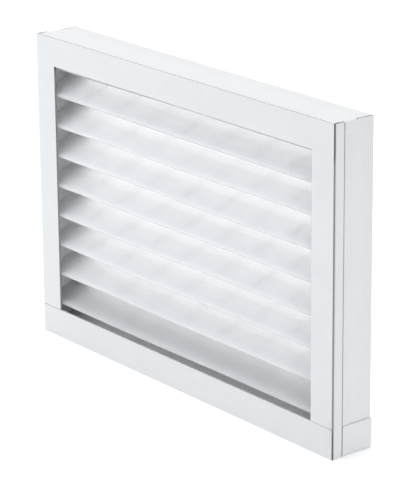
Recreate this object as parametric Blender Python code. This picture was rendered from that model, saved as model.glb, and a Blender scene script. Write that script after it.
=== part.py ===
"""Pleated panel air filter in a folded card frame, standing on its long edge.

Metres, +Z up. X runs along the width, Y through the depth (the front face looks
along -Y) and the origin is the middle of the base. The frame is white-lined card:
a thick die-cut front plate and sill, thinner folded channels round the four sides,
and angle strips behind the plate at the two front corners. Inside, one sheet of
fleece is folded into pleats whose crests run along X, with a wire grid behind it.
"""

from math import asin, atan2, cos, pi, sin, tan

import bmesh
import bpy
from mathutils import Vector

# Driving dimensions
WIDTH = 0.430
HEIGHT = 0.300
DEPTH = 0.046

PLATE = 0.0020  # thickness of the front plate and sill
CARD = 0.0010  # thickness of the folded card
GAP = 0.0003  # glue line or clearance between any two pieces that touch
FOLD_RADIUS = 0.0008  # to the middle of the card, at every fold

STILE = 0.028  # width of the plate's two upright bars
TOP_BAR = 0.0275  # height of the plate's upper bar
SILL = 0.028  # height of the sill, and of the rear flap and end tabs level with it
REAR_FLANGE = 0.028  # width of the channels' flanges round the rear window
GLUE_FLAP = 0.012  # height of the flaps glued behind the plate and the sill

ANGLE_SIDE = 0.0092  # how far an angle strip reaches back along the side
ANGLE_FACE = 0.020  # how far it reaches in behind the plate
TONGUE_WIDTH = 0.0144  # of the top channel's two tongues, along Y
TONGUE_DROP = 0.012  # how far a tongue hangs down the side
TONGUE_RADIUS = 0.0020  # its fold over the corner, to the middle of the card
TAB_BACK = 0.0155  # from the front face to the front edge of an end tab
SEAM_WIDTH = 0.0070  # of the ridged strip along the side
SEAM_RISE = 0.0009  # at the top of each of its two ridges
SEAM_BASE = 0.0004  # between and beside the ridges
SEAM_SPACE = 0.0012  # groove between the angle strip and the seam strip

FLEECE = 0.0018  # thickness of the pleated sheet
FLEECE_FOLD = 0.0002  # inner radius of each pleat fold
PITCH_WANTED = 0.030  # crest to crest, before it is fitted to the height
CREST_SETBACK = 0.0004  # from the crests to the glue flaps, over the usual gap
TOP_LANDING = 0.3  # share of a pitch by which the last leg still climbs to its lip
LIP_REACH = 0.0100  # length of the flat lip at each end of the sheet
LIP_GLUE = 0.0007  # thickness of the glue bed between a lip and its panel
LIP_GLUE_WIDTH = 0.0080
LIP_GLUE_INSET = 0.0100  # from each end of the sheet to the end of the glue bed
SEAL = 0.0010  # thickness of the adhesive pad that the pleat ends sit in
SEAL_INSET = 0.0003  # of the pad from the panels, over the usual gap

WIRE = 0.0008  # diameter of the wires of the support grid behind the sheet
WIRE_GAP = 0.0005  # between the grid and the sheet, which clears the corners of its bends
WIRE_BEND = 0.0006  # smallest bend of a pleated wire, to its middle
WIRE_SPACING = 0.050  # between pleated wires, before it is fitted to the width
WIRE_INSET = 0.0110  # from the end of the sheet to the first pleated wire
WELD = 0.0003  # how deep a long wire is welded into the pleated wires
CROSS_AT = 0.55  # where a long wire crosses each leg, from crest to valley

# Places that several pieces share
HALF_WIDTH = WIDTH / 2
FRONT = -DEPTH / 2
REAR = DEPTH / 2
PLATE_BACK = FRONT + PLATE
FLAP_FRONT = PLATE_BACK + GAP
FLAP_BACK = FLAP_FRONT + CARD
FLANGE_FRONT = REAR - CARD

SKIN_INNER = HALF_WIDTH - CARD  # inner face of the outermost card on each side
WALL_OUTER = SKIN_INNER - GAP
WALL_INNER = WALL_OUTER - CARD
PANEL_END = WALL_INNER - GAP  # ends of the top and bottom panels
SHEET_END = PANEL_END - SEAL - GAP

FLOOR = CARD  # upper face of the bottom panel
CEILING = HEIGHT - CARD  # lower face of the top panel

ANGLE_END = FLAP_FRONT + ANGLE_SIDE
TONGUE_START = ANGLE_END + GAP
TONGUE_END = TONGUE_START + TONGUE_WIDTH
TONGUE_LOW = HEIGHT - TONGUE_DROP
TAB_START = FRONT + TAB_BACK
SEAM_START = ANGLE_END + SEAM_SPACE

# The pleats: circles of CREST_RADIUS at the crests and valleys, joined by tangents
CREST_RADIUS = FLEECE_FOLD + FLEECE / 2  # to the middle of the sheet
CREST_Y = FLAP_BACK + GAP + CREST_SETBACK + FLEECE / 2 + CREST_RADIUS
VALLEY_Y = FLANGE_FRONT - GAP - WIRE - WIRE_GAP - FLEECE / 2 - CREST_RADIUS
FIRST_CREST = FLOOR + GAP + LIP_GLUE + GAP + FLEECE / 2 + CREST_RADIUS
LIP_TOP = CEILING - GAP - LIP_GLUE - GAP - FLEECE / 2
# From the lowest crest to the upper lip the sheet climbs this many pitches
PLEATS = round((LIP_TOP - FIRST_CREST) / PITCH_WANTED + 0.5 - TOP_LANDING)
PITCH = (LIP_TOP - FIRST_CREST) / (PLEATS - 0.5 + TOP_LANDING)
LEG_DEPTH = VALLEY_Y - CREST_Y
LEG_REACH = Vector((LEG_DEPTH, PITCH / 2)).length
SLOPE = atan2(PITCH / 2, LEG_DEPTH) - asin(2 * CREST_RADIUS / LEG_REACH)

WIRE_LINE = FLEECE / 2 + WIRE_GAP + WIRE / 2  # pleated wires, from the middle of the sheet
CROSS_LINE = WIRE_LINE + WIRE - WELD  # long wires, behind the pleated ones
WIRE_REACH = SHEET_END - WIRE_INSET
WIRE_COUNT = round(2 * WIRE_REACH / WIRE_SPACING) + 1

FOLD_STEPS = 4  # segments in a card fold
CREST_STEPS = 5  # segments in a pleat fold
WIRE_STEPS = 3  # segments in a wire bend
RIDGE_STEPS = 5  # segments across one ridge of the seam strip

WHITE_CARD = (0.86, 0.87, 0.88)
WHITE_FLEECE = (0.90, 0.91, 0.92)
GLUE_COLOUR = (0.86, 0.82, 0.68)
ZINC = (0.62, 0.63, 0.65)


def clear_scene():
    for obj in list(bpy.data.objects):
        bpy.data.objects.remove(obj, do_unlink=True)


def finish_object(name, mesh_builder, colour, roughness, metallic=0.0):
    """Makes an object from a bmesh, with a material of its own."""
    mesh = bpy.data.meshes.new(name)
    bmesh.ops.recalc_face_normals(mesh_builder, faces=mesh_builder.faces)
    mesh_builder.to_mesh(mesh)
    mesh_builder.free()
    obj = bpy.data.objects.new(name, mesh)
    bpy.context.scene.collection.objects.link(obj)
    material = bpy.data.materials.new(name)
    material.use_nodes = True
    shader = material.node_tree.nodes["Principled BSDF"]
    shader.inputs["Base Color"].default_value = (*colour, 1.0)
    shader.inputs["Roughness"].default_value = roughness
    shader.inputs["Metallic"].default_value = metallic
    mesh.materials.append(material)
    return obj


def card_object(name, mesh_builder):
    return finish_object(name, mesh_builder, WHITE_CARD, 0.6)


def lift(axis, flat, along):
    """A point of a flat outline, placed at one station along the axis it runs on."""
    first, second = flat
    if axis == "X":
        return (along, first, second)
    if axis == "Y":
        return (first, along, second)
    return (first, second, along)


def add_prism(builder, outline, axis, low, high):
    """Extrudes a closed outline, given in the other two axes, from low to high."""
    near = [builder.verts.new(lift(axis, point, low)) for point in outline]
    far = [builder.verts.new(lift(axis, point, high)) for point in outline]
    builder.faces.new(near)
    builder.faces.new(far)
    for index in range(len(outline)):
        after = (index + 1) % len(outline)
        builder.faces.new((near[index], near[after], far[after], far[index]))


def add_box(builder, low, high):
    outline = [(low[0], low[1]), (high[0], low[1]), (high[0], high[1]), (low[0], high[1])]
    add_prism(builder, outline, "Z", low[2], high[2])


def folded(corners, radius):
    """Outline of a strip of card whose middle runs through corners, rounded at each."""
    middle = []
    for index, corner in enumerate(corners):
        here = Vector(corner)
        if index in (0, len(corners) - 1):
            other = Vector(corners[1] if index == 0 else corners[-2])
            heading = (other - here if index == 0 else here - other).normalized()
            middle.append((here, Vector((-heading.y, heading.x))))
            continue
        arriving = (here - Vector(corners[index - 1])).normalized()
        leaving = (Vector(corners[index + 1]) - here).normalized()
        turn = atan2(arriving.x * leaving.y - arriving.y * leaving.x, arriving.dot(leaving))
        side = 1 if turn > 0 else -1
        start = here - arriving * radius * tan(abs(turn) / 2)
        normal = Vector((-arriving.y, arriving.x))
        centre = start + normal * radius * side
        for step in range(FOLD_STEPS + 1):
            angle = turn * step / FOLD_STEPS
            turned = Vector((
                normal.x * cos(angle) - normal.y * sin(angle),
                normal.x * sin(angle) + normal.y * cos(angle),
            ))
            middle.append((centre - turned * radius * side, turned))
    left = [point + normal * CARD / 2 for point, normal in middle]
    right = [point - normal * CARD / 2 for point, normal in middle]
    return [tuple(point) for point in left + right[::-1]]


def mirrored(outline, side):
    """The outline with its first coordinate taken to the left or the right half."""
    return [(side * first, second) for first, second in outline]


def helper_object(name, builder):
    """A hidden shape that a Boolean adds to a piece or cuts from it."""
    obj = card_object(name, builder)
    obj.hide_render = True
    obj.display_type = "WIRE"
    return obj


def combine(target, helper, operation):
    modifier = target.modifiers.new(helper.name, "BOOLEAN")
    modifier.operation = operation
    modifier.solver = "EXACT"
    modifier.object = helper


def make_front_plate():
    """Die-cut plate round three sides of the front window, open at the sill."""
    inner = HALF_WIDTH - STILE
    low = SILL + GAP
    window_top = HEIGHT - TOP_BAR
    outline = [
        (-HALF_WIDTH, low), (-inner, low), (-inner, window_top), (inner, window_top),
        (inner, low), (HALF_WIDTH, low), (HALF_WIDTH, HEIGHT), (-HALF_WIDTH, HEIGHT),
    ]
    builder = bmesh.new()
    add_prism(builder, outline, "Y", FRONT, PLATE_BACK)
    card_object("front_plate", builder)


def make_front_sill():
    builder = bmesh.new()
    add_box(builder, (-HALF_WIDTH, FRONT, 0), (HALF_WIDTH, PLATE_BACK, SILL))
    card_object("front_sill", builder)


def make_top_channel():
    """Top panel with its two flaps, and a tongue folded down over each side."""
    level = HEIGHT - CARD / 2
    flap_y = FLAP_FRONT + CARD / 2
    flange_y = REAR - CARD / 2
    profile = folded(
        [(flap_y, CEILING - GLUE_FLAP), (flap_y, level), (flange_y, level),
         (flange_y, HEIGHT - REAR_FLANGE)],
        FOLD_RADIUS,
    )
    builder = bmesh.new()
    add_prism(builder, profile, "X", -PANEL_END, PANEL_END)
    channel = card_object("top_channel", builder)
    skin_x = HALF_WIDTH - CARD / 2
    tongue = folded(
        [(PANEL_END - CARD, level), (skin_x, level), (skin_x, TONGUE_LOW)], TONGUE_RADIUS
    )
    builder = bmesh.new()
    for side in (-1, 1):
        add_prism(builder, mirrored(tongue, side), "Y", TONGUE_START, TONGUE_END)
    combine(channel, helper_object("top_tongues", builder), "UNION")


def make_bottom_cap():
    """Bottom panel with its two flaps, and a tab folded up at each end."""
    level = CARD / 2
    flap_y = FLAP_FRONT + CARD / 2
    flange_y = REAR - CARD / 2
    profile = folded(
        [(flap_y, FLOOR + GLUE_FLAP), (flap_y, level), (flange_y, level), (flange_y, SILL)],
        FOLD_RADIUS,
    )
    builder = bmesh.new()
    add_prism(builder, profile, "X", -PANEL_END, PANEL_END)
    cap = card_object("bottom_cap", builder)
    skin_x = HALF_WIDTH - CARD / 2
    tab = folded([(PANEL_END - CARD, level), (skin_x, level), (skin_x, SILL)], TONGUE_RADIUS)
    builder = bmesh.new()
    for side in (-1, 1):
        add_prism(builder, mirrored(tab, side), "Y", TAB_START, REAR)
    combine(cap, helper_object("cap_tabs", builder), "UNION")


def make_side_channel(name, side):
    """Side wall with its rear flange, let in for the tongue, the tab and the flaps."""
    wall_x = WALL_OUTER - CARD / 2
    flange_y = REAR - CARD / 2
    corner_clear = TONGUE_RADIUS + CARD / 2  # height of a tongue's or tab's fold
    profile = folded(
        [(wall_x, FLAP_BACK + GAP), (wall_x, flange_y), (HALF_WIDTH - REAR_FLANGE, flange_y)],
        FOLD_RADIUS,
    )
    builder = bmesh.new()
    low = corner_clear + GAP
    add_prism(builder, mirrored(profile, side), "Z", low, HEIGHT)
    channel = card_object(name, builder)

    over = 5 * CARD  # how far a cutter reaches past what it cuts
    cuts = bmesh.new()
    notch_x = sorted((side * (WALL_INNER - over), side * (WALL_OUTER + over)))
    add_box(
        cuts,
        (notch_x[0], TONGUE_START - GAP, HEIGHT - corner_clear - GAP),
        (notch_x[1], TONGUE_END + GAP, HEIGHT + over),
    )
    combine(channel, helper_object(name + "_notch", cuts), "DIFFERENCE")
    cuts = bmesh.new()
    flange_x = sorted((side * (HALF_WIDTH - REAR_FLANGE - over), side * WALL_INNER))
    flange_cuts = ((low - over, SILL + GAP), (HEIGHT - REAR_FLANGE - GAP, HEIGHT + over))
    for bottom, top in flange_cuts:
        add_box(
            cuts,
            (flange_x[0], FLANGE_FRONT - GAP, bottom),
            (flange_x[1], REAR + over, top),
        )
    combine(channel, helper_object(name + "_corners", cuts), "DIFFERENCE")


def make_corner_angle(name, side):
    """Angle strip: one leg behind the plate, the other along the side of the frame."""
    skin_x = HALF_WIDTH - CARD / 2
    flap_y = FLAP_FRONT + CARD / 2
    profile = folded(
        [(HALF_WIDTH - ANGLE_FACE, flap_y), (skin_x, flap_y), (skin_x, ANGLE_END)],
        FOLD_RADIUS,
    )
    builder = bmesh.new()
    add_prism(builder, mirrored(profile, side), "Z", 0, HEIGHT)
    angle = card_object(name, builder)

    over = 5 * CARD
    cuts = bmesh.new()
    cut_x = sorted((side * (HALF_WIDTH - ANGLE_FACE - over), side * WALL_OUTER))
    face_low = FLOOR + GLUE_FLAP + GAP
    face_high = CEILING - GLUE_FLAP - GAP
    for bottom, top in ((-over, face_low), (face_high, HEIGHT + over)):
        add_box(cuts, (cut_x[0], FLAP_FRONT - over, bottom), (cut_x[1], FLAP_BACK + over, top))
    combine(angle, helper_object(name + "_ends", cuts), "DIFFERENCE")


def make_seam_strip(name, side):
    """Narrow strip with two rounded ridges along its length."""
    base_x = SKIN_INNER
    ridge = (SEAM_WIDTH - CARD / 2) / 2
    outline = [(base_x, SEAM_START)]
    for number in range(2):
        start = SEAM_START + number * (ridge + CARD / 2)
        for step in range(RIDGE_STEPS + 1):
            share = step / RIDGE_STEPS
            rise = SEAM_BASE + (SEAM_RISE - SEAM_BASE) * sin(pi * share)
            outline.append((base_x + rise, start + ridge * share))
    outline.append((base_x, SEAM_START + SEAM_WIDTH))
    builder = bmesh.new()
    add_prism(builder, mirrored(outline, side), "Z", SILL + GAP, TONGUE_LOW - GAP)
    card_object(name, builder)


def arc(centre, radius, first, last, steps):
    """Points of a pleat fold about centre, between two angles from +Y towards +Z."""
    angles = [first + (last - first) * step / steps for step in range(steps + 1)]
    return [
        (centre[0] + radius * cos(angle), centre[1] + radius * sin(angle))
        for angle in angles
    ]


def pleat_line(offset, smallest, start, steps):
    """The pleats in Y and Z, moved sideways by offset towards the rear side.

    Each crest's arc shrinks with the offset down to the smallest radius; past that its
    centre moves back instead, so that the line keeps the same distance from both legs.
    The lowest crest's arc begins at the angle start.
    """
    crest_bend = max(CREST_RADIUS - offset, smallest)
    crest_y = CREST_Y + (offset + crest_bend - CREST_RADIUS) / sin(SLOPE)
    line = []
    for number in range(PLEATS):
        height = FIRST_CREST + number * PITCH
        first = 3 * pi / 2 - SLOPE if number > 0 else start
        line += arc((crest_y, height), crest_bend, first, pi / 2 + SLOPE, steps)
        valley = (VALLEY_Y, height + PITCH / 2)
        line += arc(valley, CREST_RADIUS + offset, SLOPE - pi / 2, pi / 2 - SLOPE, steps)
    return line


def make_media():
    """The pleated sheet, with a flat lip at its bottom and top ends."""
    surfaces = []
    for offset in (-FLEECE / 2, FLEECE / 2):
        line = pleat_line(offset, FLEECE_FOLD, 3 * pi / 2, CREST_STEPS)
        lip_start = (CREST_Y + LIP_REACH, line[0][1])
        lip_height = LIP_TOP + offset
        leg_y, leg_z = line[-1]
        landing = leg_y - (lip_height - leg_z) / tan(SLOPE)
        lip_end = (CREST_Y + CREST_RADIUS, lip_height)
        surfaces.append([lip_start] + line + [(landing, lip_height), lip_end])
    builder = bmesh.new()
    rows = [
        [builder.verts.new((x, y, z)) for y, z in surface]
        for x in (-SHEET_END, SHEET_END)
        for surface in surfaces
    ]
    section = (rows[0], rows[1], rows[3], rows[2])
    for index in range(len(rows[0]) - 1):
        for near, far in zip(section, section[1:] + section[:1]):
            builder.faces.new((near[index], far[index], far[index + 1], near[index + 1]))
    for end in (0, -1):
        builder.faces.new([row[end] for row in section])
    finish_object("pleated_media", builder, WHITE_FLEECE, 0.9)


def make_edge_seal(name, side):
    """Pad of adhesive between the ends of the pleats and the side wall."""
    across = sorted((side * (PANEL_END - SEAL), side * PANEL_END))
    low = FLOOR + GAP + SEAL_INSET
    high = CEILING - GAP - SEAL_INSET
    builder = bmesh.new()
    add_box(
        builder, (across[0], FLAP_BACK + GAP, low), (across[1], FLANGE_FRONT - GAP, high)
    )
    finish_object(name, builder, GLUE_COLOUR, 0.4)


def make_lip_glue(name, low):
    """Bed of glue that holds one end of the sheet to its panel."""
    start = CREST_Y + 2 * CREST_RADIUS
    reach = SHEET_END - LIP_GLUE_INSET
    builder = bmesh.new()
    add_box(builder, (-reach, start, low), (reach, start + LIP_GLUE_WIDTH, low + LIP_GLUE))
    finish_object(name, builder, GLUE_COLOUR, 0.4)


def add_wire(builder, points):
    """Carries a square section, on its corner, along a line of points at one X."""
    rings = []
    for index, point in enumerate(points):
        arriving = point - points[index - 1] if index > 0 else points[1] - point
        leaving = points[index + 1] - point if index < len(points) - 1 else arriving
        heading = (arriving.normalized() + leaving.normalized()).normalized()
        reach = WIRE / 2 / cos(arriving.angle(leaving) / 2)
        across = Vector((0, -heading.z, heading.y)) * reach
        along_x = Vector((WIRE / 2, 0, 0))
        corners = (along_x, across, -along_x, -across)
        rings.append([builder.verts.new(point + corner) for corner in corners])
    for ring, following in zip(rings, rings[1:]):
        for index in range(4):
            after = (index + 1) % 4
            builder.faces.new((ring[index], ring[after], following[after], following[index]))
    builder.faces.new(rings[0])
    builder.faces.new(rings[-1])


def make_support_grid():
    """Welded wires that hold the pleats from behind: some follow them, some run along X."""
    line = pleat_line(WIRE_LINE, WIRE_BEND, 3 * pi / 4, WIRE_STEPS)
    leg_y, leg_z = line[-1]
    end_y = (CREST_Y + VALLEY_Y) / 2
    line.append((end_y, leg_z + (leg_y - end_y) * tan(SLOPE)))
    builder = bmesh.new()
    for number in range(WIRE_COUNT):
        x = WIRE_REACH * (2 * number / (WIRE_COUNT - 1) - 1)
        add_wire(builder, [Vector((x, y, z)) for y, z in line])
    grid = finish_object("support_grid", builder, ZINC, 0.35, 1.0)

    # A leg rises from its crest; a long wire hangs behind it, or stands on the leg before
    cross_y = CREST_Y + CROSS_AT * LEG_DEPTH
    rise = (cross_y - CREST_Y) * tan(SLOPE) + (CREST_RADIUS - CROSS_LINE) / cos(SLOPE)
    half = WIRE / 2
    builder = bmesh.new()
    for number in range(PLEATS):
        height = FIRST_CREST + number * PITCH
        for z in (height + rise, height - rise)[: 2 if number > 0 else 1]:
            outline = [
                (cross_y - half, z), (cross_y, z - half), (cross_y + half, z), (cross_y, z + half)
            ]
            add_prism(builder, outline, "X", -WIRE_REACH - WIRE, WIRE_REACH + WIRE)
    combine(grid, helper_object("long_wires", builder), "UNION")


clear_scene()
make_front_plate()
make_front_sill()
make_top_channel()
make_bottom_cap()
for side_name, side_sign in (("left", -1), ("right", 1)):
    make_side_channel("side_channel_" + side_name, side_sign)
    make_corner_angle("corner_angle_" + side_name, side_sign)
    make_seam_strip("seam_strip_" + side_name, side_sign)
    make_edge_seal("edge_seal_" + side_name, side_sign)
make_media()
make_lip_glue("lip_glue_bottom", FLOOR + GAP)
make_lip_glue("lip_glue_top", CEILING - GAP - LIP_GLUE)
make_support_grid()
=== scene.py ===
from math import asin, atan2, cos, hypot, pi, radians, sin, sqrt, tan

import bpy
import numpy as np
from mathutils import Matrix, Vector


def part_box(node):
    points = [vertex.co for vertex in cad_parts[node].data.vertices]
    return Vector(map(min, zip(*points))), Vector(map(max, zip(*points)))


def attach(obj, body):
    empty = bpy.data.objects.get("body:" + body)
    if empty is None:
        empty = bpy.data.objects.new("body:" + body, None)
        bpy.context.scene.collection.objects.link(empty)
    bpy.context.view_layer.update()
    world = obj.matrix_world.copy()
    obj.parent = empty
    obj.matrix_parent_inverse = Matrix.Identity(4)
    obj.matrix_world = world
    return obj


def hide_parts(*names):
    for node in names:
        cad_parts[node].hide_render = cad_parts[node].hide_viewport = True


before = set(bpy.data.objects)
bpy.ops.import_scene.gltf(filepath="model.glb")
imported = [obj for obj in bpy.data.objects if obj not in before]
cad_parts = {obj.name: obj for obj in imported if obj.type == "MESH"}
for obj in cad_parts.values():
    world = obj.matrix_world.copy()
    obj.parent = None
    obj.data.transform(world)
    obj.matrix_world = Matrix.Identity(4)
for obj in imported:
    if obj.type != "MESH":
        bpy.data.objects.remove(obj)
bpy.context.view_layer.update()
print("frame loaded:", len(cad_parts), "nodes")


# places read from the frame
def boxOf(node):
    low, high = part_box(node)
    return np.array(low), np.array(high)


plateLow, plateHigh = boxOf("front_plate")
sillLow, sillHigh = boxOf("front_sill")
wallLow, wallHigh = boxOf("side_channel_right")
angleLow, angleHigh = boxOf("corner_angle_right")
seamLow, seamHigh = boxOf("seam_strip_right")
sheetLow, sheetHigh = boxOf("pleated_media")
topHigh = boxOf("top_channel")[1]
padHigh = boxOf("edge_seal_right")[1]
gridHigh = boxOf("support_grid")[1]

halfWidth = plateHigh[0]
height = plateHigh[2]
front, rear = plateLow[1], topHigh[1]
sillTop = sillHigh[2]
joint = 0.0003  # between any two pieces that touch
hair = 0.00001  # left between two pieces that read as one
card = wallHigh[1] - (padHigh[1] + joint)  # thickness of the folded card
skinX = halfWidth - card / 2  # middle of the outermost card on each side
wallX = wallHigh[0] - card / 2
panelEnd = wallHigh[0] - card - joint


# meshes worked out as arrays
def meshPiece(name, points, quads, values, flat, sharp):
    # One mesh from an array of points and an array of quads. values become point
    # attributes, and flat the UV map, in metres. Edges over sharp degrees stay crisp.
    mesh = bpy.data.meshes.new(name)
    mesh.from_pydata(points, [], quads)
    mesh.polygons.foreach_set("use_smooth", np.ones(len(quads), bool))
    mesh.set_sharp_from_angle(angle=radians(sharp))
    for label, value in values.items():
        mesh.attributes.new(label, "FLOAT", "POINT").data.foreach_set("value", value)
    corner = np.empty(len(mesh.loops), np.int32)
    mesh.loops.foreach_get("vertex_index", corner)
    mesh.uv_layers.new(name="flat").data.foreach_set("uv", flat[corner].ravel())
    piece = bpy.data.objects.new(name, mesh)
    bpy.context.scene.collection.objects.link(piece)
    return piece


def quadsOf(*corners):
    # Each quad as a row of its four point numbers
    return np.stack([corner.ravel() for corner in corners], axis=1)


def closedSheet(middle, normal, half, values, flat):
    # Two skins over one grid of rows and columns, middle plus and minus normal times
    # half, and one row of quads round the rim between them. Both skins have the same
    # values and the same flat place.
    rows, columns = half.shape
    count = rows * columns
    reach = normal * half[..., None]
    points = np.concatenate(((middle + reach).reshape(-1, 3), (middle - reach).reshape(-1, 3)))
    index = np.arange(count).reshape(rows, columns)
    outer = quadsOf(index[:-1, :-1], index[:-1, 1:], index[1:, 1:], index[1:, :-1])
    inner = outer[:, ::-1] + count
    rim = np.concatenate((index[0], index[1:, -1], index[-1, -2::-1], index[-2:0:-1, 0]))
    after = np.roll(rim, -1)
    edge = quadsOf(after, rim, rim + count, after + count)
    values = {label: np.stack((value, value)) for label, value in values.items()}
    flat = np.stack(np.broadcast_arrays(*flat), axis=-1)
    return points, np.concatenate((outer, inner, edge)), values, np.stack((flat, flat))


def joined(name, sheets, sharp=35):
    # Several closed sheets (points, quads, values, flat) as one mesh object. A sheet's
    # quads are turned round if the volume that they enclose comes out negative.
    points, quads, flats, count = [], [], [], 0
    values = {label: [] for label in sheets[0][2]}
    for sheetPoints, sheetQuads, sheetValues, flat in sheets:
        points.append(sheetPoints)
        area = sheetPoints[sheetQuads]
        volume = (area[:, 0] * np.cross(area[:, 1], area[:, 2])).sum()
        volume += (area[:, 0] * np.cross(area[:, 2], area[:, 3])).sum()
        quads.append((sheetQuads if volume > 0 else sheetQuads[:, ::-1]) + count)
        for label, value in sheetValues.items():
            values[label].append(value.ravel())
        flats.append(flat.reshape(-1, 2))
        count += len(sheetPoints)
    values = {label: np.concatenate(value) for label, value in values.items()}
    points, quads, flats = (np.concatenate(part) for part in (points, quads, flats))
    return meshPiece(name, points, quads, values, flats, sharp)


def headingLine(start, heading, runs, turns, radii, spacing, bendSteps, extra=()):
    # A line in a plane whose heading is straight on each run and turns evenly on each
    # bend. Each step is a chord of its arc, so the sum of the steps is exact. extra gives
    # more marks, as distances from its start, or from its end where they are negative.
    # Returns the distance along it, the points, the headings and the bend mask.
    knots, headings, marks = [0.0], [heading], []
    for number, run in enumerate(runs):
        steps = max(1, round(run / spacing))
        marks += list(knots[-1] + run * np.arange(1, steps) / steps)
        knots.append(knots[-1] + run)
        headings.append(headings[-1])
        if number < len(turns):
            bend = abs(turns[number]) * radii[number]
            marks += list(knots[-1] + bend * np.arange(1, bendSteps) / bendSteps)
            knots.append(knots[-1] + bend)
            headings.append(headings[-1] + turns[number])
    marks += [mark if mark >= 0 else knots[-1] + mark for mark in extra]
    along = np.unique(np.round(np.array(knots + marks), 9))
    facing = np.interp(along, knots, headings)
    step, turn = np.diff(along), np.diff(facing)
    chord = step * np.sinc(turn / 2 / pi)
    mean = facing[:-1] + turn / 2
    points = np.zeros((len(along), 2))
    points[1:, 0] = np.cumsum(chord * np.cos(mean))
    points[1:, 1] = np.cumsum(chord * np.sin(mean))
    bent = np.zeros(len(along))
    bent[:-1] += np.abs(turn) > 1e-9
    bent[1:] += np.abs(turn) > 1e-9
    return along, points + np.array(start), facing, np.minimum(bent, 1)


def smoothNoise(places, seed):
    # Three octaves of four sines of the place, with directions and phases from the seed
    chance = np.random.default_rng(seed)
    total = np.zeros(places.shape[:-1])
    for octave in range(3):
        waves = chance.normal(size=(4, places.shape[-1])) * 2**octave
        phases = chance.uniform(0, 2 * pi, 4)
        for wave, phase in zip(waves, phases):
            total += np.sin(places @ wave + phase) / 2**octave / 4
    return total


# card
cardLook = {
    "edgeRound": 0.00018,  # rounding of a cut edge
    "foldSteps": 10,
    "foldRadius": 0.0008,
    "cornerRadius": 0.0020,  # where a tongue or tab folds over a corner
    "spacing": 0.008,  # between grid lines on the flat
    "tabCore": 0.25,  # how much raw core shows at a tab's edges, against 1
}


def edgeSteps(rounding):
    # Distances from a cut edge at which its quarter round is sampled
    return rounding * (1 - np.cos(np.linspace(0, pi / 2, 5)))


def roundedHalf(thickness, rounding, distance):
    # Half of the thickness at a distance from the nearest cut edge, on a quarter circle
    inward = np.clip(1 - distance / rounding, 0, 1)
    return thickness / 2 - rounding * (1 - np.sqrt(1 - inward**2))


def alongSamples(low, high, count, rounding):
    # Stations between low and high, with the quarter rounds at both ends. low and high
    # are arrays, one value for each row.
    steps = edgeSteps(rounding)
    inner = np.linspace(0, 1, count + 2)[1:-1]
    share = np.concatenate((np.zeros(len(steps)), inner, np.ones(len(steps))))
    nudge = np.concatenate((steps, np.zeros(count), -steps[::-1]))
    return low[:, None] * (1 - share) + high[:, None] * share + nudge


def liftTo(axis, first, second, along):
    # A point of a flat profile at a station on the axis that it runs along
    order = {"X": (along, first, second), "Y": (first, along, second), "Z": (first, second, along)}
    return np.stack(np.broadcast_arrays(*order[axis]), axis=-1)


def cardStrip(corners, axis, lowAt, highAt, side=1, radius=cardLook["foldRadius"],
              sealed=None, pressedAndCrestShade=None, core=1.0):
    # A strip of card whose middle runs through the corners, rounded at each, carried
    # along the axis from lowAt to highAt of each of its points. Where sealed is true,
    # both of these ends carry on into other strips. pressed gives the share of its
    # thickness that is left at a point of a strip that is pressed down flush: such a
    # strip has no cut edge at its first and last corner. core is how much raw core its
    # edges show.
    corners = np.array(corners)
    rounding = cardLook["edgeRound"]
    legs = np.diff(corners, axis=0)
    facing = np.arctan2(legs[:, 1], legs[:, 0])
    turns = (np.diff(facing) + pi) % (2 * pi) - pi
    trims = radius * np.tan(np.abs(turns) / 2)
    runs = np.hypot(legs[:, 0], legs[:, 1])
    runs[:-1] -= trims
    runs[1:] -= trims
    steps = edgeSteps(rounding)
    along, flat, facing, bent = headingLine(
        corners[0], facing[0], runs, turns, [radius] * len(turns), cardLook["spacing"],
        cardLook["foldSteps"], extra=list(steps) + [-step for step in steps[1:]],
    )
    low, high = lowAt(flat), highAt(flat)
    count = max(3, round((high - low).max() / cardLook["spacing"]))
    stations = alongSamples(low, high, count, rounding)
    distance = np.minimum(stations - low[:, None], high[:, None] - stations)
    if sealed is not None:  # rows that carry on into another strip have no cut edge there
        distance = np.where(sealed(flat)[:, None], 1.0, distance)
    if pressedAndCrestShade is None:
        distance = np.minimum(distance, np.minimum(along, along[-1] - along)[:, None])
    middle = liftTo(axis, flat[:, :1], flat[:, 1:], stations)
    normal = liftTo(axis, -np.sin(facing)[:, None], np.cos(facing)[:, None], 0 * stations)
    half = roundedHalf(card, rounding, distance)
    if pressedAndCrestShade is not None:  # the inner skin stays, the outer one comes down
        lower = half * (1 - pressedAndCrestShade(middle))
        middle = middle - normal * (lower * np.sign(normal[..., 0]))[..., None]
        half = half - lower
    if side < 0:
        middle[..., 0] *= -1
        normal[..., 0] *= -1
    cut = np.clip(1 - distance / rounding, 0, 1) * core
    values = {"cutEdge": cut, "fold": bent[:, None] + 0 * cut}
    return closedSheet(middle, normal, half, values, (stations, along[:, None]))


def level(value):
    return lambda flat: np.full(len(flat), value)


def edgedRange(low, high, count, rounding):
    # Stations from low to high with both quarter rounds, for one straight side
    return alongSamples(np.array([low]), np.array([high]), count, rounding)[0]


plateLook = {
    "stile": 0.028,
    "topBar": 0.0275,
    "rounding": 0.00022,
    "nearCorner": 0.002,  # share of a bar at which one more row stands beside a mitre
    "levelCore": 0.36,  # how much core shows at level edges, against 1 at upright ones
    "rowsUp": 34,
    "rowsAcross": 50,
    "rowsWide": 5,
}
windowTop = height - plateLook["topBar"]


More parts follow.
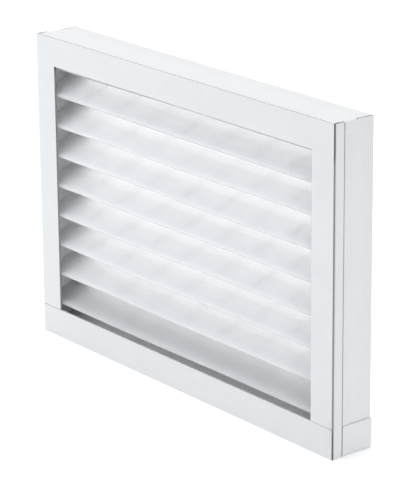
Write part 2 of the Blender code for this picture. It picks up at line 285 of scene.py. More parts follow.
def board(name, x, z, depths, distance, upright):
    # A flat board in the plane of the front face: x and z are its grid, distance is how
    # far each point lies from the nearest cut edge, and upright marks the upright edges
    rounding = plateLook["rounding"]
    distance = np.maximum(distance, 0)
    middle = np.stack((x, np.full(x.shape, sum(depths) / 2), z), axis=-1)
    half = roundedHalf(depths[1] - depths[0], rounding, distance)
    cut = np.clip(1 - distance / rounding, 0, 1) * np.where(upright, 1, plateLook["levelCore"])
    values = {"cutEdge": cut, "fold": 0 * cut}
    return joined(name, [closedSheet(middle, np.array([0, 1, 0]), half, values, (x, z))])


def makeFrontPlate():
    # The plate is one strip bent square round the window: its rows run up the left bar,
    # along the top bar and down the right bar, and v from the outer edge to the window
    rounding, near = plateLook["rounding"], plateLook["nearCorner"]
    inner = halfWidth - plateLook["stile"]
    low = plateLow[2]
    rise = np.linspace(0, 1, plateLook["rowsUp"])[1:-1]
    rise = np.concatenate((edgeSteps(rounding) / (windowTop - low), rise, [1 - near, 1]))
    across = np.linspace(0, 1, plateLook["rowsAcross"])[1:-1]
    across = np.concatenate(([near], across, [1 - near, 1]))
    upShare = np.concatenate((rise, np.ones(len(across)), rise[::-1][1:]))
    acrossShare = np.concatenate((np.zeros(len(rise)), across, np.ones(len(rise) - 1)))
    v = edgedRange(0, plateLook["stile"], plateLook["rowsWide"], rounding) / plateLook["stile"]
    outerX = halfWidth * (2 * acrossShare - 1)
    innerX = inner * (2 * acrossShare - 1)
    outerZ = low + (height - low) * upShare
    innerZ = low + (windowTop - low) * upShare
    x = outerX[:, None] * (1 - v) + innerX[:, None] * v
    z = outerZ[:, None] * (1 - v) + innerZ[:, None] * v
    outerGap = np.minimum(halfWidth - np.abs(x), height - z)
    innerGap = np.maximum(np.abs(x) - inner, z - windowTop)
    distance = np.minimum(np.minimum(outerGap, innerGap), z - low)
    upright = np.minimum(np.abs(halfWidth - np.abs(x)), np.abs(np.abs(x) - inner)) < rounding
    return board("frontPlate", x, z, (plateLow[1], plateHigh[1]), distance, upright)


def makeFrontSill():
    # A plain bar: a grid of X by Z with quarter rounds along all four cut edges
    rounding = plateLook["rounding"]
    across = edgedRange(sillLow[0], sillHigh[0], plateLook["rowsAcross"], rounding)
    up = edgedRange(sillLow[2], sillTop, plateLook["rowsWide"], rounding)
    x, z = np.meshgrid(across, up, indexing="ij")
    distance = np.minimum(halfWidth - np.abs(x), np.minimum(z - sillLow[2], sillTop - z))
    upright = halfWidth - np.abs(x) < rounding
    return board("frontSill", x, z, (sillLow[1], sillHigh[1]), distance, upright)


flaps = {"height": 0.012, "rearFlange": 0.028}
tongue = {
    "start": angleHigh[1] + joint,
    "width": 0.0144,
    "drop": 0.012,
    "full": 0.0035,  # how far below the top it still has its full thickness
    "past": 0.001,  # half the width over which it thins away behind the seam strip
    "least": 0.00015,
}
tongue["end"] = tongue["start"] + tongue["width"]
seam = {
    "base": 0.0004,
    "rise": 0.00092,
    "least": 0.0001,
    "round": 0.8,  # a lower power makes the two ridges broader
    "roll": 0.3,  # of a card, at the lower end
    # painted shade in the groove between the two ridges, against the greying of a worn fold
    "wearAndGrooveShade": 0.6,
    "steps": 12,
    "rows": 40,
}
flapY = plateHigh[1] + joint + card / 2
flangeY = rear - card / 2
flangeX = halfWidth - flaps["rearFlange"]
floorZ, ceilingZ = card, height - card


def seamRise(y):
    # Height of the seam strip over the side: one arch of a sine on each half of its width
    share = (y - seamLow[1]) / (seamHigh[1] - seamLow[1])
    arch = np.abs(np.sin(2 * pi * share)) ** seam["round"]
    arch = np.where((share > 0) & (share < 1), arch, 0)
    return seam["base"] + (seam["rise"] - seam["base"]) * arch


def tongueThickness(middle):
    # Down the side the tongue thins from a full card to the height of the seam strip
    # below it, so that the two ridges grow out of the fold
    full, low = height - tongue["full"], height - tongue["drop"]
    down = np.clip((full - middle[..., 2]) / (full - low), 0, 1)
    down = down * down * (3 - 2 * down)
    past = tongue["past"]
    onSeam = np.clip((seamHigh[1] + past - middle[..., 1]) / (2 * past), 0, 1)
    target = seamRise(middle[..., 1]) * onSeam + tongue["least"] * (1 - onSeam)
    return 1 - down * (1 - target / card)


def makeTopChannel():
    # The top panel with its flap and rear flange, and a tongue down over each side
    panelZ = height - card / 2
    start, end = tongue["start"], tongue["end"]

    def carriesOn(flat):  # where the panel's end runs on into a tongue
        return (flat[:, 1] > panelZ - card / 4) & (flat[:, 0] > start) & (flat[:, 0] < end)

    profile = [(flapY, ceilingZ - flaps["height"]), (flapY, panelZ), (flangeY, panelZ),
               (flangeY, height - flaps["rearFlange"])]
    sheets = [cardStrip(profile, "X", level(-panelEnd), level(panelEnd), sealed=carriesOn)]
    fold = [(panelEnd, panelZ), (skinX, panelZ), (skinX, seamHigh[2] + hair)]
    for side in (-1, 1):
        sheets.append(cardStrip(fold, "Y", level(seamLow[1]), level(end), side,
                                cardLook["cornerRadius"], pressedAndCrestShade=tongueThickness, core=0.0))
    return joined("topChannel", sheets)


def makeBottomCap():
    # The bottom panel with its two flaps, and a tab up at each end
    panelZ = card / 2

    def carriesOn(flat):  # where the panel's end runs on into a tab
        return (flat[:, 1] < panelZ + card / 4) & (flat[:, 0] > seamLow[1])

    profile = [(flapY, floorZ + flaps["height"]), (flapY, panelZ), (flangeY, panelZ),
               (flangeY, sillTop)]
    sheets = [cardStrip(profile, "X", level(-panelEnd), level(panelEnd), sealed=carriesOn)]
    tab = [(panelEnd, panelZ), (skinX, panelZ), (skinX, sillTop)]
    for side in (-1, 1):
        sheets.append(cardStrip(tab, "Y", level(seamLow[1]), level(rear), side,
                                cardLook["cornerRadius"], core=cardLook["tabCore"]))
    return joined("bottomCap", sheets)


def makeSideChannel(name, side):
    # Side wall and rear flange. Its ends step where the tongue and the flaps pass it.
    notchZ = height - cardLook["cornerRadius"] - card / 2 - joint
    start, end = tongue["start"] - joint, tongue["end"] + joint

    def onFlange(flat):
        return flat[:, 0] < wallX - card / 2

    def lowAt(flat):
        return np.where(onFlange(flat), sillTop + joint, wallLow[2])

    def highAt(flat):
        underTongue = ~onFlange(flat) & (flat[:, 1] > start) & (flat[:, 1] < end)
        high = np.where(onFlange(flat), height - flaps["rearFlange"] - joint, height)
        return np.where(underTongue, notchZ, high)

    profile = [(wallX, wallLow[1]), (wallX, flangeY), (flangeX, flangeY)]
    return joined(name, [cardStrip(profile, "Z", lowAt, highAt, side=side)])


def makeCornerAngle(name, side):
    # One leg behind the plate between the flaps, the other down the side of the frame
    def onFace(flat):
        return flat[:, 0] < wallHigh[0]

    def lowAt(flat):
        return np.where(onFace(flat), floorZ + flaps["height"] + joint, 0.0)

    def highAt(flat):
        return np.where(onFace(flat), ceilingZ - flaps["height"] - joint, height)

    profile = [(angleLow[0], flapY), (skinX, flapY), (skinX, angleHigh[1])]
    return joined(name, [cardStrip(profile, "Z", lowAt, highAt, side=side)])


def makeSeamStrip(name, side):
    # The seam's height over the side, carried straight up from the tab to the tongue
    rounding = cardLook["edgeRound"]
    across = np.linspace(seamLow[1], seamHigh[1], 4 * seam["steps"] + 1)
    rise = seamRise(across)
    up = edgedRange(seamLow[2], seamHigh[2], seam["rows"], rounding)
    y, z = np.meshgrid(across, up, indexing="ij")
    roll = seam["roll"] * card * np.clip(1 - (z - seamLow[2]) / rounding, 0, 1) ** 2
    half = np.maximum(rise[:, None] - roll, seam["least"]) / 2
    middle = np.stack((side * (seamLow[0] + half), y, z), axis=-1)
    # painted shade: the groove between the two ridges is greyed through the fold value
    groove = 1 - (rise - rise.min()) / (rise.max() - rise.min())
    values = {"cutEdge": 0 * y, "fold": groove[:, None] * seam["wearAndGrooveShade"] + 0 * y}
    return joined(name, [closedSheet(middle, np.array([1, 0, 0]), half, values, (y, z))])


# pleats and the grid behind them
pleats = {
    "thickness": 0.0018,
    "inside": 0.0002,  # inner radius of a fold
    "foldWearAndGrooveShade": 10,
    "climb": 9.8,  # pitches from the lowest crest to the upper lip
    "lip": 0.0100,
    "ease": 0.0015,  # radius where the last leg flattens into its lip
    "columns": 96,
    "crestSteps": 10,
    "legSpacing": 0.0042,
    "wander": 0.00055,  # how far a crest line strays up and down along its length
    "push": 0.00022,  # and in and out
    "tilt": 0.0003,  # of one end of a crest line against its middle, at most
    "belly": 0.00012,  # how far a leg bulges between two wires
    "topSag": 0.0019,  # the crest under the top bar hangs a little
    "nose": 0.9,  # share of the depth past which a crest's underside gets painted shade
    "noseFade": 0.06,
}
lastCrest = pleats["foldWearAndGrooveShade"] - 1
fleeceHalf = pleats["thickness"] / 2
crestRadius = pleats["inside"] + fleeceHalf
crestY = sheetLow[1] + fleeceHalf + crestRadius
valleyY = sheetHigh[1] - fleeceHalf - crestRadius
firstCrest = sheetLow[2] + fleeceHalf + crestRadius
lipTop = sheetHigh[2] - fleeceHalf
pitch = (lipTop - firstCrest) / pleats["climb"]
legDepth = valleyY - crestY
slope = atan2(pitch / 2, legDepth) - asin(2 * crestRadius / hypot(legDepth, pitch / 2))
sheetEnd = sheetHigh[0]

wires = {
    "count": 9,
    "diameter": 0.0008,
    "bend": 0.0006,
    "gap": 0.0005,  # to the fleece in front
    "weld": 0.0003,  # how deep two wires sink into each other
    "crossAt": 0.55,  # place of a long wire on its leg, from the crest
    "spacing": 0.009,
    "bendSteps": 7,
    "sides": 10,
    "crossSides": 8,
    "crossSteps": 60,
    "zinc": (0.62, 0.63, 0.65, 1),
    "bloom": (0.74, 0.75, 0.76, 1),
}
wireLine = fleeceHalf + wires["gap"] + wires["diameter"] / 2
wireReach = gridHigh[0] - wires["diameter"]


def pleatTurns(count, first):
    # The heading turns one way round each crest and the other way round each valley
    full = pi - 2 * slope
    turns = [-first, full]
    for _ in range(count - 1):
        turns += [-full, full]
    return turns


chance = np.random.default_rng(46)
crestPhases = chance.uniform(0, 2 * pi, (lastCrest + 3, 4))
crestTilt = chance.uniform(-1, 1, lastCrest + 3)


def stray(x, y, z):
    # How far the fleece and its grid stand from their plain places: nothing at the
    # valleys, growing evenly to the crests, where each crest line has two slow waves
    # of its own along X, up and down and in and out, that calm down towards its ends.
    # The crest under the top bar also hangs. The lowest crest and the upper lip are
    # glued and stay in place.
    number = np.clip(np.round((z - firstCrest) / pitch), 0, len(crestTilt) - 1).astype(int)
    share = np.clip((valleyY - y) / legDepth, 0, 1)
    phase = crestPhases[number]
    along = x / sheetEnd
    ends = 1 - 0.6 * along**6
    up = np.sin(2.3 * along + phase[..., 0]) * 0.6 + np.sin(5.1 * along + phase[..., 1]) * 0.4
    forth = np.sin(3.1 * along + phase[..., 2]) * 0.6 + np.sin(7.3 * along + phase[..., 3]) * 0.4
    up = up * pleats["wander"] * ends + crestTilt[number] * along * pleats["tilt"]
    up = up - np.where(number == lastCrest, pleats["topSag"] * (1 - 0.15 * along**2), 0)
    free = np.where((number == 0) | (number > lastCrest), 0.0, share)
    return forth * pleats["push"] * free, up * free


def makeMedia():
    # The fleece follows a line of straight legs and round folds. Each leg bulges a
    # little to the front between two wires, as half a sine along the leg.
    ease = pleats["ease"]
    leg = sqrt(hypot(legDepth, pitch / 2) ** 2 - 4 * crestRadius**2)
    lastRise = lipTop - (firstCrest + (lastCrest + 0.5) * pitch) - crestRadius * cos(slope)
    lastLeg = lastRise / sin(slope) - ease * tan(slope / 2)
    lastY = valleyY + crestRadius * sin(slope) - lastRise / tan(slope)
    lipRun = lastY - (crestY + crestRadius) - ease * tan(slope / 2)
    runs = [pleats["lip"]] + [leg] * (2 * pleats["foldWearAndGrooveShade"] - 1) + [lastLeg, lipRun]
    turns = pleatTurns(pleats["foldWearAndGrooveShade"], pi - slope) + [slope]
    radii = [crestRadius] * (2 * pleats["foldWearAndGrooveShade"]) + [ease]
    along, flat, facing, _ = headingLine(
        (crestY + pleats["lip"], firstCrest - crestRadius), pi, runs, turns, radii,
        pleats["legSpacing"], pleats["crestSteps"],
    )
    x = np.linspace(-sheetEnd, sheetEnd, pleats["columns"] + 1)
    xs, ys = np.meshgrid(x, flat[:, 0])
    zs, facing, along = (np.repeat(row[:, None], len(x), 1) for row in (flat[:, 1], facing, along))
    forth, up = stray(xs, ys, zs)
    legShare = np.clip((ys - crestY) / legDepth, 0, 1)
    bay = (xs + wireReach) / (2 * wireReach) * (wires["count"] - 1)
    between = np.clip(np.sin(pi * (bay % 1)), 0, 1) * (np.abs(xs) < wireReach)
    number = np.round((zs - firstCrest) / pitch * 2).astype(int)
    lively = 0.55 + 0.45 * np.sin(number * 2.1 + np.floor(bay) * 1.7)  # no two legs alike
    belly = pleats["belly"] * np.sin(pi * legShare) * between * lively
    normal = np.stack((0 * xs, -np.sin(facing), np.cos(facing)), axis=-1)
    middle = np.stack((xs, ys + forth, zs + up), axis=-1) + normal * belly[..., None]
    crest = 1 - legShare
    # painted shade: a mask for the darker underside of each crest's front skin
    nose = np.clip((crest - pleats["nose"]) / pleats["noseFade"], 0, 1)
    underShade = np.clip(-np.cos(facing), 0, 1) * nose
    sheet = closedSheet(middle, normal, np.full(xs.shape, fleeceHalf),
                        {"crest": crest, "underShade": underShade}, (xs, along))
    sheet[2]["underShade"][1] = 0  # only the front skin gets the painted shade under its crests
    return joined("pleatedMedia", [sheet], 60), along[-1, 0]


def tube(path, sides):
    # A ring of points round each point of a wire's path, square to its mean direction
    ahead = np.gradient(path, axis=0)
    ahead /= np.linalg.norm(ahead, axis=1)[:, None]
    guide = np.where(np.abs(ahead[:, :1]) > 0.9, [[0.0, 1.0, 0.0]], [[1.0, 0.0, 0.0]])
    right = np.cross(ahead, guide)
    right /= np.linalg.norm(right, axis=1)[:, None]
    over = np.cross(right, ahead)
    angle = np.linspace(0, 2 * pi, sides, endpoint=False)
    ring = right[:, None] * np.cos(angle)[:, None] + over[:, None] * np.sin(angle)[:, None]
    points = path[:, None] + ring * (wires["diameter"] / 2)
    index = np.arange(len(path) * sides).reshape(-1, sides)
    after = np.roll(index, -1, axis=1)
    quads = [quadsOf(index[:-1], after[:-1], after[1:], index[1:])]
    step = np.arange(sides // 2 - 1)  # an even ring closes with quads laid straight across it
    for end in (index[0], index[-1][::-1]):
        quads.append(quadsOf(end[step + 1], end[-2 - step], end[-1 - step], end[step]))
    return points.reshape(-1, 3), np.concatenate(quads)


def makeGrid():
    # Round wires that follow the pleats, and long wires welded behind each leg
    crestBend, valleyBend = wires["bend"], crestRadius + wireLine
    wireCrestY = crestY + (wireLine + crestBend - crestRadius) / sin(slope)
    leg = sqrt(hypot(valleyY - wireCrestY, pitch / 2) ** 2 - (crestBend + valleyBend) ** 2)
    startAngle = 3 * pi / 4
    start = (wireCrestY + crestBend * cos(startAngle), firstCrest + crestBend * sin(startAngle))
    lastRun = valleyY + valleyBend * sin(slope) - (crestY + valleyY) / 2
    runs = [0.0] + [leg] * (2 * pleats["foldWearAndGrooveShade"] - 1) + [lastRun / cos(slope)]
    first = startAngle - pi / 2 - slope
    flat = headingLine(
        start, slope + first, runs, pleatTurns(pleats["foldWearAndGrooveShade"], first),
        [crestBend, valleyBend] * pleats["foldWearAndGrooveShade"], wires["spacing"], wires["bendSteps"],
    )[1]

    def wire(x, y, z, sides):
        forth, up = stray(x, y, z)
        points, quads = tube(np.stack((x, y + forth, z + up), axis=1), sides)
        return points, quads, {}, np.zeros((len(points), 2))

    sheets = [
        wire(np.full(len(flat), x), flat[:, 0], flat[:, 1], wires["sides"])
        for x in np.linspace(-wireReach, wireReach, wires["count"])
    ]
    crossY = crestY + wires["crossAt"] * legDepth
    crossLine = wireLine + wires["diameter"] - wires["weld"]
    rise = (crossY - crestY) * tan(slope) + (crestRadius - crossLine) / cos(slope)
    crossEnd = wireReach + wires["diameter"]
    x = np.linspace(-crossEnd, crossEnd, wires["crossSteps"])
    for number in range(pleats["foldWearAndGrooveShade"]):
        for sign in ((1, -1) if number > 0 else (1,)):
            z = firstCrest + number * pitch + sign * rise
            sheets.append(wire(x, crossY + 0 * x, z + 0 * x, wires["crossSides"]))
    return joined("supportGrid", sheets, 50)


# adhesive
glueLook = {
    "lump": 0.00028,
    "mostLump": 0.35,  # of the pad's thickness
    "roll": 0.4,
    "lumpsPerMetre": 160,
    "edge": 0.00045,
    "spacing": 0.0025,
    "milky": (0.78, 0.785, 0.785, 1),
    "pale": (0.84, 0.84, 0.82, 1),
}


def makeGlue(name, axis, low, high, seed):
    # A flat pad that is thin along the axis. Its free face rolls off towards the edges
    # and carries slow lumps, so its half thickness is less than the full pad's by both.
    thin = "XYZ".index(axis)
    wide = [index for index in range(3) if index != thin]
    rounding = glueLook["edge"]
    rows = []
    for index in wide:
        count = max(8, round((high[index] - low[index]) / glueLook["spacing"]))
        rows.append(edgedRange(low[index], high[index], count, rounding))
    grid = np.stack(np.meshgrid(*rows, indexing="ij"), axis=-1)
    distance = np.minimum(grid - low[wide], high[wide] - grid).min(axis=-1)
    thickness = high[thin] - low[thin]
    lumps = 0.5 + 0.5 * smoothNoise(grid * glueLook["lumpsPerMetre"], seed)
    lumps = np.minimum(glueLook["lump"] * lumps, glueLook["mostLump"] * thickness)
    roll = glueLook["roll"] * thickness * np.clip(1 - distance / rounding, 0, 1) ** 2
    half = (thickness - lumps - roll) / 2
    middle = np.empty((*half.shape, 3))
    middle[..., wide] = grid
    outward = 1 if (low[thin] + high[thin]) > (height if axis == "Z" else 0) else -1
    wall = high[thin] if outward > 0 else low[thin]
    middle[..., thin] = wall - outward * half  # the pad's back stays flat on what it grips
    normal = np.zeros(middle.shape)
    normal[..., thin] = 1
    flat = (grid[..., 0], grid[..., 1])
    return joined(name, [closedSheet(middle, normal, half, {}, flat)], 80)


# shader building blocks
def feed(tree, node, inputs):
    # Each input is either a socket to link from or a plain value
    for label, value in inputs.items():
        if isinstance(value, bpy.types.NodeSocket):
            tree.links.new(value, node.inputs[label])
        else:
            node.inputs[label].default_value = value


def addNode(tree, kind, inputs=None, **settings):
    node = tree.nodes.new(kind)
    for label, value in settings.items():
        setattr(node, label, value)
    feed(tree, node, inputs or {})
    return node


def mathNode(tree, operation, *values, clamp=False):
    inputs = dict(enumerate(values))
    return addNode(tree, "ShaderNodeMath", inputs, operation=operation, use_clamp=clamp).outputs[0]


def mixColour(tree, factor, first, second, blend="MIX"):
    inputs = {0: factor, 6: first, 7: second}
    return addNode(tree, "ShaderNodeMix", inputs, data_type="RGBA", blend_type=blend).outputs[2]


def rangeNode(tree, value, fromLow, fromHigh, toLow=0.0, toHigh=1.0, smooth=True):
    inputs = {"Value": value, "From Min": fromLow, "From Max": fromHigh,
              "To Min": toLow, "To Max": toHigh}
    kind = "SMOOTHSTEP" if smooth else "LINEAR"
    return addNode(tree, "ShaderNodeMapRange", inputs, interpolation_type=kind).outputs["Result"]


def noiseNode(tree, vector, scale, detail=3.0, roughness=0.5, distortion=0.0):
    inputs = {"Vector": vector, "Scale": scale, "Detail": detail, "Roughness": roughness,
              "Distortion": distortion}
    return addNode(tree, "ShaderNodeTexNoise", inputs).outputs["Fac"]


def stretched(tree, vector, scale):
    return addNode(tree, "ShaderNodeMapping", {"Vector": vector, "Scale": scale}).outputs["Vector"]


def shaded(tree, colour, factor):
    # A colour times a value, which may be over 1
    inputs = {0: colour, "Scale": factor}
    return addNode(tree, "ShaderNodeVectorMath", inputs, operation="SCALE").outputs[0]


def newGroup(name, inputs, outputs):
    # The sockets and their kinds; every use of a group feeds all of its inputs
    group = bpy.data.node_groups.new(name, "ShaderNodeTree")
    for way, sockets in (("INPUT", inputs), ("OUTPUT", outputs)):
        for label, kind in sockets.items():
            group.interface.new_socket(name=label, in_out=way, socket_type="NodeSocket" + kind)
    return group, group.nodes.new("NodeGroupInput").outputs, group.nodes.new("NodeGroupOutput")


def useGroup(tree, group, inputs):
    return addNode(tree, "ShaderNodeGroup", inputs, node_tree=group).outputs


def paperGrainGroup():
    # Coated card: slow clouds, fine fibres lying mostly one way, and a few dark specks
    group, given, out = newGroup(
        "paperGrain",
        {"Place": "Vector", "Paper": "Color", "Clouding": "Float", "Specks": "Float"},
        {"Colour": "Color", "Shine": "Float", "Height": "Float"},
    )
    place = given["Place"]
    clouds = noiseNode(group, place, 26.0, 4.0, 0.55)
    fine = noiseNode(group, stretched(group, place, (1.0, 1.0, 0.22)), 2600.0, 2.0, 0.6, 0.4)
    press = noiseNode(group, place, 520.0, 3.0, 0.6)
    shade = rangeNode(group, clouds, 0.3, 0.7, -1.0, 1.0)
    shade = mathNode(group, "MULTIPLY", shade, given["Clouding"])
    shade = mathNode(group, "ADD", shade, rangeNode(group, fine, 0.3, 0.7, -0.012, 0.012))
    bright = shaded(group, given["Paper"], mathNode(group, "ADD", shade, 1.0))
    cells = addNode(group, "ShaderNodeTexVoronoi", {"Vector": place, "Scale": 210.0}, feature="F1")
    near = rangeNode(group, cells.outputs["Distance"], 0.055, 0.02)
    rare = rangeNode(group, noiseNode(group, place, 90.0, 1.0), 0.62, 0.7)
    speck = mathNode(group, "MULTIPLY", mathNode(group, "MULTIPLY", near, rare), given["Specks"])
    feed(group, out, {
        "Colour": mixColour(group, speck, bright, (0.42, 0.40, 0.37, 1)),
        "Shine": rangeNode(group, press, 0.3, 0.7, 0.50, 0.62),
        "Height": mathNode(group, "MULTIPLY_ADD", press, 0.6,
                           mathNode(group, "MULTIPLY", fine, 0.4)),
    })
    return group


def cutEdgeGroup():
    # A cut through board: grey core in thin layers, with a little of the white liner
    # worn back along the edge
    group, given, out = newGroup(
        "cutEdge",
        {"Place": "Vector", "Colour": "Color", "Core": "Color", "Edge": "Float", "Reach": "Float"},
        {"Colour": "Color", "Mask": "Float"},
    )
    place = given["Place"]
    nibble = noiseNode(group, place, 900.0, 3.0, 0.6)
    nibble = rangeNode(group, nibble, 0.2, 0.8, -0.5, 0.5, False)
    shifted = mathNode(group, "MULTIPLY_ADD", nibble, 0.5, given["Edge"])
    high = mathNode(group, "ADD", given["Reach"], 0.28)
    mask = rangeNode(group, shifted, given["Reach"], high)
    layers = noiseNode(group, stretched(group, place, (0.35, 2.4, 0.35)), 1500.0, 3.0, 0.65)
    core = shaded(group, given["Core"], rangeNode(group, layers, 0.3, 0.7, 0.72, 1.28))
    feed(group, out, {"Colour": mixColour(group, mask, given["Colour"], core), "Mask": mask})
    return group


def glueStainGroup():
    # Hot melt that has soaked in beside a joint: a soft ragged patch round one place
    group, given, out = newGroup(
        "glueStain",
        {"Place": "Vector", "Centre": "Vector", "Reach": "Vector", "Colour": "Color",
         "Amount": "Float"},
        {"Colour": "Color"},
    )
    far = given["Place"]
    for operation, label in (("SUBTRACT", "Centre"), ("DIVIDE", "Reach")):
        inputs = {0: far, 1: given[label]}
        far = addNode(group, "ShaderNodeVectorMath", inputs, operation=operation).outputs[0]
    far = addNode(group, "ShaderNodeVectorMath", {0: far}, operation="LENGTH").outputs["Value"]
    ragged = noiseNode(group, given["Place"], 260.0, 3.0, 0.6)
    far = mathNode(group, "ADD", far, rangeNode(group, ragged, 0.2, 0.8, -0.35, 0.35, False))
    mask = mathNode(group, "MULTIPLY", rangeNode(group, far, 1.0, 0.25), given["Amount"])
    stain = mixColour(group, mask, given["Colour"], (0.80, 0.72, 0.50, 1), "MULTIPLY")
    feed(group, out, {"Colour": stain})
    return group


def fleeceWebGroup():
    # Needled fleece with a net of diamond bonds: two sets of slanted lines that cross,
    # fine fibres in all directions, and slow clouds where the web is thicker
    group, given, out = newGroup(
        "fleeceWeb",
        {"Flat": "Vector", "Fibre": "Color", "Bond spacing": "Float", "Bonds": "Float"},
        {"Colour": "Color", "Height": "Float"},
    )
    flat = given["Flat"]
    parts = addNode(group, "ShaderNodeSeparateXYZ", {"Vector": flat}).outputs
    bend = noiseNode(group, flat, 120.0, 2.0)
    bend = rangeNode(group, bend, 0.3, 0.7, -0.0005, 0.0005, False)
    lines = []
    for sign in (1.0, -1.0):
        slanted = mathNode(group, "MULTIPLY_ADD", parts["Y"], 1.7 * sign, parts["X"])
        slanted = mathNode(group, "ADD", slanted, bend)
        turns = mathNode(group, "DIVIDE", slanted, given["Bond spacing"])
        lines.append(rangeNode(group, mathNode(group, "PINGPONG", turns, 0.5), 0.11, 0.0))
    net = mathNode(group, "MAXIMUM", *lines)
    cross = mathNode(group, "MULTIPLY", *lines)
    fibreA = noiseNode(group, stretched(group, flat, (1.0, 0.18, 1.0)), 2300.0, 3.0, 0.6, 1.2)
    fibreB = noiseNode(group, stretched(group, flat, (0.2, 1.0, 1.0)), 2000.0, 3.0, 0.6, 1.0)
    web = noiseNode(group, flat, 190.0, 4.0, 0.6)
    fibres = mathNode(group, "MAXIMUM", fibreA, fibreB)
    shade = rangeNode(group, fibres, 0.42, 0.75, -0.03, 0.03)
    shade = mathNode(group, "ADD", shade, rangeNode(group, web, 0.3, 0.7, -0.010, 0.010))
    dip = mathNode(group, "MULTIPLY", mathNode(group, "ADD", net, cross), given["Bonds"])
    shade = mathNode(group, "SUBTRACT", mathNode(group, "ADD", shade, 1.0), dip)
    relief = mathNode(group, "MULTIPLY_ADD", fibres, 0.35, mathNode(group, "MULTIPLY", web, 0.15))
    for bonds, depth in ((net, 0.35), (cross, 0.4)):
        relief = mathNode(group, "SUBTRACT", relief, mathNode(group, "MULTIPLY", bonds, depth))
    feed(group, out, {"Colour": shaded(group, given["Fibre"], shade), "Height": relief})
    return group


def handlingGroup():
    # Faint handling marks: thin clouds that grey the surface a little
    group, given, out = newGroup(
        "handling",
        {"Place": "Vector", "Colour": "Color", "Amount": "Float"},
        {"Colour": "Color"},
    )
    marks = noiseNode(group, given["Place"], 38.0, 6.0, 0.68, 0.6)
    mask = mathNode(group, "MULTIPLY", rangeNode(group, marks, 0.52, 0.75), given["Amount"])
    feed(group, out, {"Colour": mixColour(group, mask, given["Colour"], (0.50, 0.49, 0.47, 1))})
    return group


paperGrain = paperGrainGroup()
cutEdge = cutEdgeGroup()
glueStain = glueStainGroup()
fleeceWeb = fleeceWebGroup()
handling = handlingGroup()
print("shared shader groups built")


def newMaterial(name):
    material = bpy.data.materials.new(name)
    material.use_nodes = True
    tree = material.node_tree
    return material, tree, tree.nodes["Principled BSDF"]


def objectPlace(tree):
    return addNode(tree, "ShaderNodeTexCoord").outputs["Object"]


def attributeNode(tree, label):
    return addNode(tree, "ShaderNodeAttribute", attribute_name=label).outputs["Fac"]


def bumpNode(tree, high, strength, distance):
    inputs = {"Height": high, "Strength": strength, "Distance": distance}
    return addNode(tree, "ShaderNodeBump", inputs).outputs["Normal"]


boardLook = {
    "paper": (0.705, 0.722, 0.732, 1),
    "core": (0.125, 0.127, 0.128, 1),
    "coreReach": 0.25,  # a low value lets the core show further round the edge
    "paleCore": (0.26, 0.265, 0.27, 1),  # paler along the middle heights of the plate's edges
    "paleHeights": ((0.022, 0.032), (0.272, 0.262)),  # where it fades in and out
    "clouding": 0.012,
    "specks": 0.25,
    "marks": 0.05,
    "stain": 0.22,
    "stainCentre": (halfWidth + 0.001, front, sillTop - 0.006),
    "stainReach": (0.010, 0.02, 0.020),
}
foldedLook = {
    "paper": (0.752, 0.759, 0.764, 1),
    "core": (0.22, 0.22, 0.22, 1),
    "coreReach": 0.4,
    # grey for worn card folds, and painted shade in the seam strip's groove
    "wearAndGrooveShade": (0.62, 0.62, 0.61, 1),
}


def makeBoardMaterial(name, look, plate):
    # White-lined board: grain, handling, raw core at cut edges, greyer worn folds, and painted
    # shade in the seam strip's groove. The plate also has a glue stain, and a paler core along the
    # middle of its edges.
    material, tree, shader = newMaterial(name)
    place = objectPlace(tree)
    grain = useGroup(tree, paperGrain, {"Place": place, "Paper": look["paper"],
                                        "Clouding": boardLook["clouding"],
                                        "Specks": boardLook["specks"]})
    colour = useGroup(tree, handling, {"Place": place, "Colour": grain["Colour"],
                                       "Amount": boardLook["marks"]})["Colour"]
    core = look["core"]
    if plate:
        colour = useGroup(tree, glueStain, {
            "Place": place, "Colour": colour, "Amount": look["stain"],
            "Centre": look["stainCentre"], "Reach": look["stainReach"],
        })["Colour"]
        up = addNode(tree, "ShaderNodeSeparateXYZ", {"Vector": place}).outputs["Z"]
        fades = [rangeNode(tree, up, *heights) for heights in look["paleHeights"]]
        core = mixColour(tree, mathNode(tree, "MULTIPLY", *fades), core, look["paleCore"])
    # greyer along worn card folds, and painted shade in the seam strip's groove
    foldWearAndGrooveShade = mathNode(tree, "MULTIPLY", attributeNode(tree, "fold"), 0.10)
    colour = mixColour(tree, foldWearAndGrooveShade, colour, foldedLook["wearAndGrooveShade"])
    edge = useGroup(tree, cutEdge, {"Place": place, "Colour": colour, "Core": core,
                                    "Edge": attributeNode(tree, "cutEdge"),
                                    "Reach": look["coreReach"]})
    feed(tree, shader, {
        "Base Color": edge["Colour"],
        "Roughness": mathNode(tree, "MULTIPLY_ADD", edge["Mask"], 0.35, grain["Shine"],
                              clamp=True),
        "Specular IOR Level": 0.4,
        "Normal": bumpNode(tree, grain["Height"], 0.25, 0.00006),
    })
    return material


fleeceLook = {
    "fibre": (0.988, 0.990, 0.992, 1),
    # painted shade: towards the crests, a little lighter at their very tips, and under each
    # crest's nose
    "paintedCreaseShade": (0.915, 0.925, 0.935, 1),
    "nose": (0.945, 0.95, 0.956, 1),
    "underNoseShade": (0.66, 0.67, 0.69, 1),
    "through": 0.80,  # share of the light at each skin that passes through it
    "bondSpacing": 0.0034,
    "bonds": 0.05,
}


